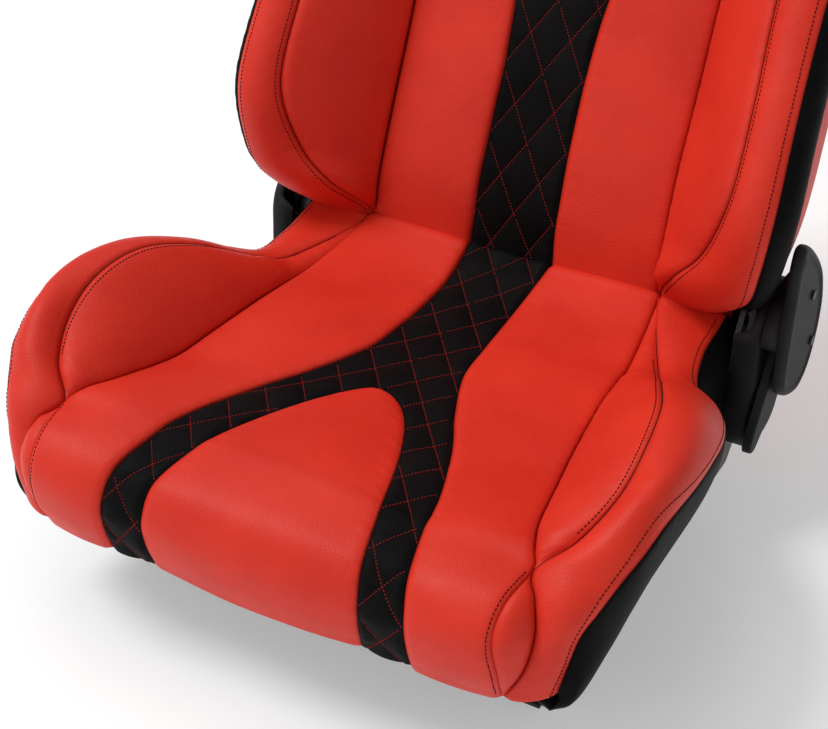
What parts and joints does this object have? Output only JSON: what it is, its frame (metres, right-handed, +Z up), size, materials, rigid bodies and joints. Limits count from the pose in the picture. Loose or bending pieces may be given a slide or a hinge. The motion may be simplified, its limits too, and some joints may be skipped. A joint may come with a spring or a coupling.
{
  "type": "reclining racing seat",
  "caption": "Reclining bucket-style racing seat with side bolsters, quilted centre insert, harness slots, recliner lever and slide rails.",
  "frame": {"origin": "centre of the four floor bolt holes, on the underside of the slide rails", "axes": "+Z up; the sitter faces -Y; +X is the sitter's left, the side with the recline lever"},
  "size_m": [0.575, 0.7847, 0.8601],
  "materials": {
    "coated_steel": "satin black powder coat",
    "zinc_steel": "zinc plated",
    "spring_wire": "oiled spring steel",
    "moulded_plastic": "fine grained black plastic",
    "red_leatherette": "soft satin red leatherette over foam",
    "black_leatherette": "satin black leatherette"
  },
  "bodies": {
    "floor_rails": {"lower_rail_left": "zinc_steel", "lower_rail_right": "zinc_steel", "lock_strips": "zinc_steel", "slide_balls": "zinc_steel", "rail_end_caps": "moulded_plastic"},
    "seat_base": {"upper_rail_left": "zinc_steel", "upper_rail_right": "zinc_steel", "side_frame_left": "coated_steel", "side_frame_right": "coated_steel", "front_cross_tube": "coated_steel", "rear_cross_tube": "coated_steel", "rail_bolts": "zinc_steel", "seat_springs": "spring_wire", "seat_spring_clips": "moulded_plastic", "release_brackets": "coated_steel", "release_pins": "zinc_steel", "base_pad": "red_leatherette", "base_bolster_left": "red_leatherette", "base_bolster_right": "red_leatherette", "base_waist_left": "red_leatherette", "base_waist_right": "red_leatherette", "base_side_panel_left": "black_leatherette", "base_side_panel_right": "black_leatherette", "waist_side_panels": "black_leatherette", "recliner_plate_left": "coated_steel", "recliner_plate_right": "coated_steel", "recliner_spacers": "coated_steel", "recliner_plate_bolts": "zinc_steel", "hinge_bushes": "zinc_steel", "bush_rings": "zinc_steel", "pawl_pins": "zinc_steel", "clock_springs": "spring_wire", "recliner_housing_left": "moulded_plastic", "recliner_housing_right": "moulded_plastic", "recliner_shield": "moulded_plastic", "shield_screws": "zinc_steel"},
    "backrest": {"back_arm_left": "coated_steel", "back_arm_right": "coated_steel", "back_hoop": "coated_steel", "back_lower_tube": "coated_steel", "back_upper_tube": "coated_steel", "lumbar_springs": "spring_wire", "lumbar_clips": "moulded_plastic", "back_pad": "red_leatherette", "back_bolster_left": "red_leatherette", "back_bolster_right": "red_leatherette", "head_pad": "red_leatherette", "harness_bezels": "moulded_plastic", "rear_panel": "red_leatherette", "back_side_band_left": "black_leatherette", "back_side_band_right": "black_leatherette"},
    "recline_lever": {"recline_lever": "moulded_plastic", "release_rod": "coated_steel", "release_cams": "coated_steel", "lever_screw": "zinc_steel"},
    "pawl_left": {"recline_pawl_left": "coated_steel"},
    "pawl_right": {"recline_pawl_right": "coated_steel"},
    "slide_release": {"slide_release_bar": "coated_steel", "slide_latch_left": "zinc_steel", "slide_latch_right": "zinc_steel"}
  },
  "joints": [
    {"name": "seat_slide", "type": "slide", "parent": "floor_rails", "child": "seat_base", "axis": [0, 1, 0], "range_m": [-0.1, 0.1]},
    {"name": "recline", "type": "hinge", "parent": "seat_base", "child": "backrest", "pos_m": [0, 0.2, 0.185], "axis": [1, 0, 0], "range_deg": [-50, 16]},
    {"name": "lever_lift", "type": "hinge", "parent": "seat_base", "child": "recline_lever", "pos_m": [0, 0.2, 0.185], "axis": [-1, 0, 0], "range_deg": [0, 28]},
    {"name": "pawl_left_turn", "type": "hinge", "parent": "seat_base", "child": "pawl_left", "pos_m": [0.231, 0.17, 0.138], "axis": [-1, 0, 0], "range_deg": [0, 8]},
    {"name": "pawl_right_turn", "type": "hinge", "parent": "seat_base", "child": "pawl_right", "pos_m": [-0.231, 0.17, 0.138], "axis": [-1, 0, 0], "range_deg": [0, 8]},
    {"name": "slide_release_lift", "type": "hinge", "parent": "seat_base", "child": "slide_release", "pos_m": [0, -0.02, 0.042], "axis": [-1, 0, 0], "range_deg": [0, 6.5]}
  ],
  "couplings": [
    {"joint": "pawl_left_turn", "follows": "lever_lift", "ratio": 0.28},
    {"joint": "pawl_right_turn", "follows": "lever_lift", "ratio": 0.28}
  ]
}
